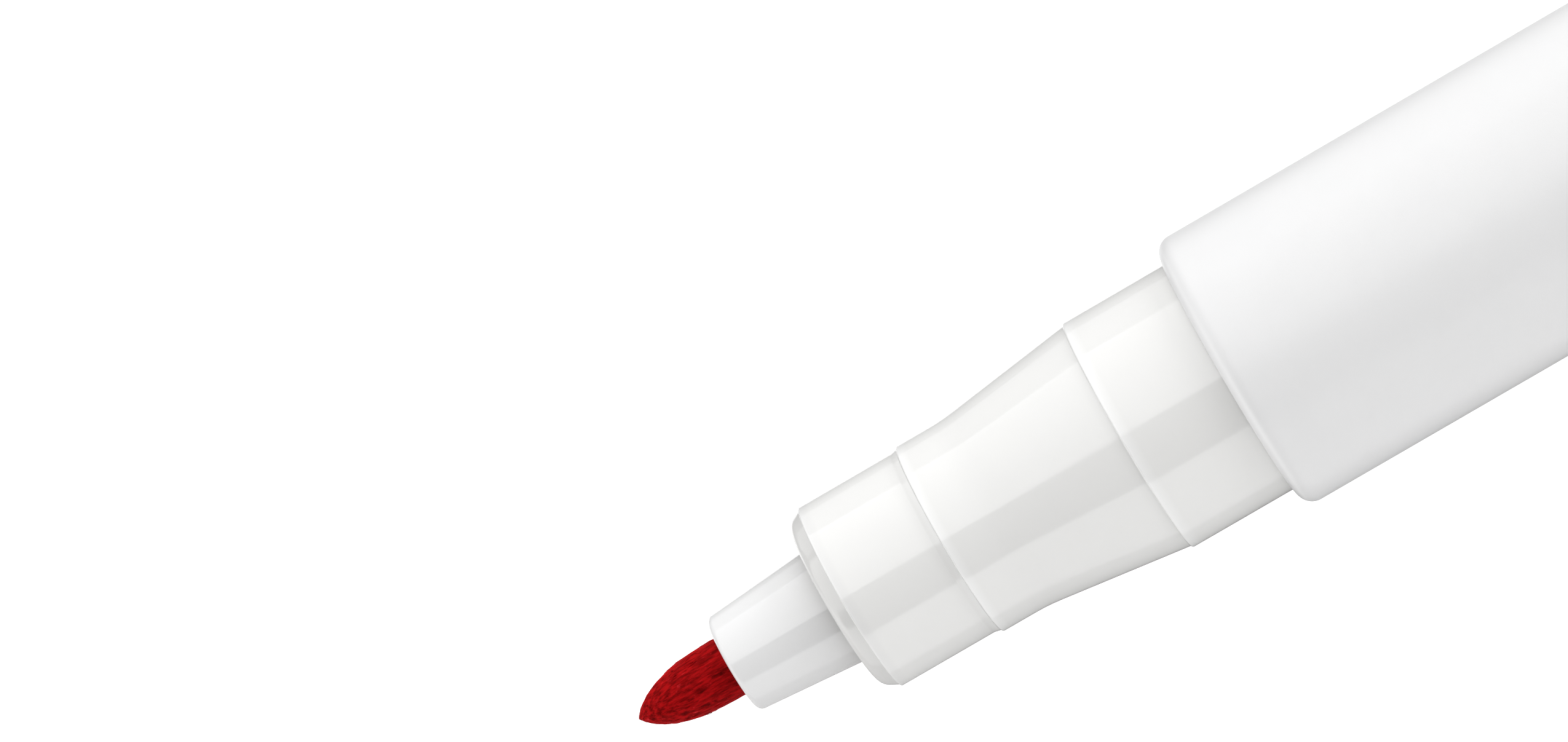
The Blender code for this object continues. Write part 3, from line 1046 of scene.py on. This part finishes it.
class MARKER_OT_tail_plug(bpy.types.Operator):
    """Build the plug that closes the barrel, with its flange and the post for the cap"""

    bl_idname = "marker.tail_plug"
    bl_label = "Tail plug"

    def execute(self, context):
        finish = context.scene.marker.finish
        full, post = radius("tail_plug"), 7.15
        insert, cavity, end_wall = 7.24, 5.94, 1.6
        start, end = front("tail_plug"), rear("tail_plug")
        flange_front = rear("barrel") + 0.06
        flange_rear = front("cap_shell") - 0.08
        cavity_end = end - end_wall
        dimple, dimple_depth = 1.3, 0.25
        corners = [
            (cavity_end, 0.0),
            (cavity_end, cavity),
            (start, cavity),
            (start, insert, 0.4),
            (flange_front, insert),
            (flange_front, full, 0.2),
            (flange_rear, full, 0.2),
            (flange_rear, post, 0.15),
            (end, post, 1.0),
            (end, dimple, 0.08),
            (end - dimple_depth, dimple - 0.2, 0.1),
            (end - dimple_depth, 0.0),
        ]
        profile = rounded(corners, step=6, pitch=1.0)
        plug = turned("tail_plug_moulding", profile)
        material = shared_finish("cap_gloss", cap_finish, finish)
        finished(plug, material, "red_gloss", "marker", "tail_plug")
        pusher_end, pusher_arm = cavity_end + end_wall / 2, cavity + 0.6
        pusher = self.make_pusher(start + 0.2, pusher_end, pusher_arm, half=0.5)
        finished(pusher, material, "red_gloss", "marker")
        return {"FINISHED"}

    def make_pusher(self, start, end, arm, half):
        """Crossed walls in the plug's cavity that press on the wad.

        A plus sign of two bars is carried along X. Its corners are half a bar's thickness to
        either side of each of four arms, and where the arms meet.
        """
        lean = math.atan2(half, arm)
        angle = (np.arange(4)[:, None] * TURN / 4 + (-lean, lean, TURN / 8)).ravel()
        reach = np.tile([math.hypot(arm, half), math.hypot(arm, half), math.sqrt(2) * half], 4)
        station = np.array([[start], [end]])
        points = around(*np.broadcast_arrays(station, reach, angle)).reshape(-1, 3)
        corner = np.arange(len(angle))
        sides = grid_faces(2, len(corner), closed_columns=True)
        ends = np.stack([corner, len(corner) + corner[::-1]])
        return new_mesh("plug_pusher", points, sides, ends)


class MARKER_OT_cap(bpy.types.Operator):
    """Build the cap, and the soft seal inside it that closes on the nose"""

    bl_idname = "marker.cap"
    bl_label = "Cap"

    def execute(self, context):
        settings = context.scene.marker
        self.make_shell(settings)
        self.make_seal(settings)
        return {"FINISHED"}

    def make_shell(self, settings):
        """Drawn from its rim, with a shallow gate mark in the middle of its closed end."""
        cap = settings.cap
        full = radius("cap_shell")
        rim, end = front("cap_shell"), rear("cap_shell")
        bore = full - cap.wall / MM
        mouth = bore + 0.22
        skirt = rim + cap.skirt / MM
        bore_end = end - cap.end_wall / MM
        gate, gate_depth = 1.1, 0.18
        corners = [
            (bore_end, 0.0),
            (bore_end, bore),
            (skirt, bore, 0.5),
            (skirt - 1, mouth, 0.5),
            (rim, mouth, 0.2),
            (rim, full, 0.35),
            (end, full, cap.end_edge / MM),
            (end, gate, 0.06),
            (end - gate_depth, gate - 0.15, 0.06),
            (end - gate_depth, 0.0),
        ]
        profile = rounded(corners, step=5, pitch=1.0)
        shell = turned("cap_moulding", profile)
        material = shared_finish("cap_gloss", cap_finish, settings.finish)
        finished(shell, material, "red_gloss", "cap", "cap_shell")

    def make_seal(self, settings):
        """A thin cup with ribs outside that centre it in the cap."""
        base = radius("cap_seal")
        lip, end = front("cap_seal"), rear("cap_seal")
        bore, wall = 5.9, 0.8
        rib_count, rib_width, rib_start = 6, 0.9, lip + 6
        outer = bore + wall
        floor = end - 1.5
        corners = [
            (floor, 0.0),
            (floor, bore, 0.3),
            (lip + 1, bore, 0.4),
            (lip, bore + 0.25, 0.1),
            (lip, outer, 0.2),
            (floor, outer, 0.1),
            (floor, base, 0.1),
            (end, base, 0.1),
            (end, 0.0),
        ]
        profile = rounded(corners, step=8, pitch=0.8)

        def ribs(s, r, turn):
            """Lengthwise ribs that raise the outside to just less than the base's radius."""
            along = (s > rib_start) & (s < floor - 0.05) & (np.abs(r - outer) < 0.02)
            raised = along & in_windows(turn, rib_count, rib_width, r)
            return np.where(raised, base - 0.1 - outer, 0.0)

        seal = turned("cap_inner_seal", profile, relief=ribs)
        material = seal_finish(settings.finish)
        finished(seal, material, "natural_seal", "cap", "cap_seal")


class MARKER_OT_pocket_clip(bpy.types.Operator):
    """Build the cap's spring clip, shaped round the place where the joint in model.json bends it
    """

    bl_idname = "marker.pocket_clip"
    bl_label = "Pocket clip"

    def execute(self, context):
        settings = context.scene.marker
        clip = self.make_arm(settings.clip)
        material = shared_finish("cap_gloss", cap_finish, settings.finish)
        finished(clip, material, "red_gloss", "clip", "pocket_clip")
        return {"FINISHED"}

    def make_arm(self, clip):
        """A closed side outline carried across the clip's width, with round long edges.

        Within one edge radius e of either side, at an angle p of the quarter circle, the
        outline is drawn in along its own normals by e * (1 - sin p), and it lies
        e * (1 - cos p) inside the side face. The fillets of the outline's outer corners are
        larger than e, so that it doesn't cross itself there.
        """
        hinge = next(j for j in frame["joints"] if j["name"] == "clip_flex")
        bend = Vector(hinge["pos_m"])
        across = Vector(hinge["axis"]).normalized()
        from_line = Vector((0, bend.y - AXIS_Y, bend.z - AXIS_Z))
        away = from_line.normalized()
        thick, width, edge = clip.thickness / MM, clip.width / MM, clip.edge / MM
        reach = from_line.length / MM + thick / 2
        under = reach - thick
        tip, end = front("pocket_clip"), rear("pocket_clip")
        root, sunk = end - 6.0, radius("cap_shell") - 0.9
        bump = radius("cap_shell") + 0.35
        corners = [
            (tip, reach - 0.55, 0.4),
            (tip + 0.9, reach, 1.0),
            (end - 1.7, reach, 1.6),
            (end, reach - 1.5, 1.0),
            (end, sunk, 0.32),
            (root, sunk, 0.32),
            (root, bump + 0.15, 0.4),
            (root - 1.3, under, 1.2),
            (tip + 4.9, under, 2.0),
            (tip + 3.0, bump, 0.8),
            (tip + 1.5, bump, 0.8),
            (tip, under + 0.1, 0.5),
        ]
        outline = rounded(corners, closed=True, step=8, pitch=0.8)
        normal = outward(outline, closed=True)
        quarter = np.linspace(0, math.pi / 2, 7)
        inset = edge * (1 - np.sin(quarter))
        side = width / 2 - edge * (1 - np.cos(quarter))
        inset = np.concatenate([inset, inset[::-1]])
        side = np.concatenate([-side, side[::-1]])
        rows = outline[:, None, :] - normal[:, None, :] * inset[None, :, None]
        station, height = rows[..., 0], rows[..., 1]
        lateral = np.broadcast_to(side, station.shape)
        points = np.stack(
            [
                TIP_X + station * MM,
                AXIS_Y + (height * away.y + lateral * across.y) * MM,
                AXIS_Z + (height * away.z + lateral * across.z) * MM,
            ],
            axis=-1,
        ).reshape(-1, 3)
        count, columns = station.shape
        quads = grid_faces(count, columns, closed_rows=True)
        first_column = np.arange(count) * columns
        side_faces = np.stack([first_column[::-1], first_column + columns - 1])
        return new_mesh("clip_arm", points, quads, side_faces)


# ---------------------------------------------------------------------------------------------
# Stage
# ---------------------------------------------------------------------------------------------


class MARKER_OT_stage(bpy.types.Operator):
    """Build the pale table, the soft lights and the camera"""

    bl_idname = "marker.stage"
    bl_label = "Stage"

    def execute(self, context):
        stage = context.scene.marker.stage
        context.scene.view_settings.view_transform = "Standard"
        self.make_floor()
        self.make_flags()
        self.make_world(context.scene)
        self.make_lights()
        self.make_camera(context.scene, stage)
        return {"FINISHED"}

    def make_floor(self):
        """A flat pale square that glows faintly, and brightly enough to show as plain white."""
        half, glow_around, glow_in_view = 3.0, 0.22, 1.3
        floor = self.flat_sheet("table", (-half, half), (-half, half), 0.0)
        material = bpy.data.materials.new("table_top")
        material.use_nodes = True
        tree = material.node_tree
        shader = tree.nodes["Principled BSDF"]
        shader.inputs["Base Color"].default_value = (0.92, 0.92, 0.92, 1.0)
        shader.inputs["Roughness"].default_value = 0.6
        shader.inputs["Emission Color"].default_value = (1.0, 1.0, 1.0, 1.0)
        seen = place_node(tree, "ShaderNodeLightPath").outputs["Is Camera Ray"]
        inputs = {"Value": seen, "To Min": glow_around, "To Max": glow_in_view}
        glint_highlight = place_node(tree, "ShaderNodeMapRange", inputs)
        tree.links.new(glint_highlight.outputs["Result"], shader.inputs["Emission Strength"])
        floor.data.materials.append(material)

    def make_flags(self):
        """Two darker cards on the table that the camera doesn't see but the plastic mirrors.

        One lies behind the marker. The one under it is a dark card put where the marker's shadow
        falls, as a painted shadow. Without them the white plastic's two outlines would be lost
        against the table.
        """
        marker = (AXIS_Y - 0.009, AXIS_Y + 0.009)
        cards = [
            ("rear_flag", (-1.5, 1.5), (0.03, 0.6), 0.001, 0.25),
            # A dark card in place of the marker's shadow on the table.
            ("contact_shadow_card", (TIP_X - 0.02, -TIP_X), marker, 0.0001, 0.7),
        ]
        for name, along, across, lift, shade in cards:
            flag = self.flat_sheet(name, along, across, lift)
            flag.visible_camera = False
            material = bpy.data.materials.new(f"{name}_cloth")
            material.use_nodes = True
            shader = material.node_tree.nodes["Principled BSDF"]
            shader.inputs["Base Color"].default_value = (shade, shade, shade, 1.0)
            shader.inputs["Roughness"].default_value = 0.9
            flag.data.materials.append(material)

    def flat_sheet(self, name, along, across, lift):
        """A level rectangle between two places along X and two along Y."""
        left, right = along
        near, far = across
        corners = [(left, near), (right, near), (right, far), (left, far)]
        points = np.array([(x, y, lift) for x, y in corners])
        return new_mesh(name, points, np.array([[0, 1, 2, 3]]))

    def make_world(self, scene):
        world = bpy.data.worlds.new("studio")
        world.use_nodes = True
        background = world.node_tree.nodes["Background"]
        background.inputs["Color"].default_value = (1.0, 1.0, 1.0, 1.0)
        background.inputs["Strength"].default_value = 0.18
        scene.world = world

    def make_lights(self):
        """Panels given by where they hang, how their first side runs, and their brightness.

        Each faces the marker's front part, and where it hangs is counted from there. Brightness
        is a radiance: a panel of area A that emits a radiance L has a power of pi * A * L.
        """
        lit_station = 25 * MM
        target = Vector((TIP_X + lit_station, AXIS_Y, AXIS_Z))
        along, across = Vector((1, 0, 0)), Vector((0, 1, 0))
        panels = [
            ("overhead", (-0.03, 0.025, 0.7), along, (1.8, 1.31), 1.2),
            ("rear_wall", (0, 0.73, 0.33), along, (1.8, 0.64), 0.55),
            ("nib_side", (-0.9, 0, 0.42), across, (0.9, 0.84), 0.95),
            ("tail_side", (0.8, 0, 0.28), across, (1.0, 0.5), 3.4),
        ]
        for name, offset, first, sides, brightness in panels:
            light = bpy.data.lights.new(name, "AREA")
            light.shape = "RECTANGLE"
            light.size, light.size_y = sides
            light.energy = brightness * math.pi * sides[0] * sides[1]
            lamp = bpy.data.objects.new(name, light)
            lamp.location = target + Vector(offset)
            away = Vector(offset).normalized()
            second = away.cross(first).normalized()
            turn = Matrix((second.cross(away), second, away)).transposed()
            lamp.rotation_euler = turn.to_euler()
            lamp.visible_camera = False
            bpy.context.scene.collection.objects.link(lamp)

    def make_camera(self, scene, stage):
        """Looks at the marker from above its side, leaning to its tail, and rolled."""
        height, lean, roll = stage.view_height, stage.view_lean, stage.roll
        straight = Vector((0, -math.cos(height), math.sin(height)))
        toward = straight * math.cos(lean) + Vector((math.sin(lean), 0, 0))
        along = Vector((1, 0, 0)) - toward * toward.x
        along.normalize()
        upward = toward.cross(along)
        right = along * math.cos(roll) - upward * math.sin(roll)
        top = along * math.sin(roll) + upward * math.cos(roll)
        aim = Vector((TIP_X + stage.aim_station, AXIS_Y, AXIS_Z))
        aim += upward * stage.aim_height
        data = bpy.data.cameras.new("camera")
        data.lens = stage.lens
        distance = stage.width * data.lens / data.sensor_width
        data.clip_start, data.clip_end = distance / 20, distance * 20
        camera = bpy.data.objects.new("camera", data)
        camera.matrix_world = Matrix.Translation(aim + toward * distance) @ Matrix(
            (
                (right.x, top.x, toward.x, 0),
                (right.y, top.y, toward.y, 0),
                (right.z, top.z, toward.z, 0),
                (0, 0, 0, 1),
            )
        )
        scene.collection.objects.link(camera)
        scene.camera = camera


PIECES = (
    MARKER_OT_nib,
    MARKER_OT_nib_holder,
    MARKER_OT_nose_section,
    MARKER_OT_barrel,
    MARKER_OT_reservoir,
    MARKER_OT_tail_plug,
    MARKER_OT_cap,
    MARKER_OT_pocket_clip,
    MARKER_OT_stage,
)


class MARKER_PT_panel(bpy.types.Panel):
    """Lists the operators in the order that builds the whole marker"""

    bl_idname = "MARKER_PT_panel"
    bl_label = "Whiteboard Marker"
    bl_space_type = "VIEW_3D"
    bl_region_type = "UI"
    bl_category = "Marker"

    def draw(self, context):
        for operator in PIECES:
            self.layout.operator(operator.bl_idname)
        settings = context.scene.marker
        for name in settings.bl_rna.properties.keys():
            group = getattr(settings, name)
            if not isinstance(group, bpy.types.PropertyGroup):
                continue
            box = self.layout.box()
            box.label(text=name.capitalize())
            for field in group.__annotations__:
                box.prop(group, field)


CLASSES = (
    MarkerNibSettings,
    MarkerNoseSettings,
    MarkerBarrelSettings,
    MarkerCapSettings,
    MarkerClipSettings,
    MarkerFinishSettings,
    MarkerStageSettings,
    MarkerSettings,
    *PIECES,
    MARKER_PT_panel,
)


def register():
    for item in CLASSES:
        bpy.utils.register_class(item)
    bpy.types.Scene.marker = PointerProperty(type=MarkerSettings)


def unregister():
    del bpy.types.Scene.marker
    for item in reversed(CLASSES):
        bpy.utils.unregister_class(item)


def main():
    register()
    for operator in PIECES:
        group, name = operator.bl_idname.split(".")
        getattr(getattr(bpy.ops, group), name)()


if __name__ == "__main__":
    main()
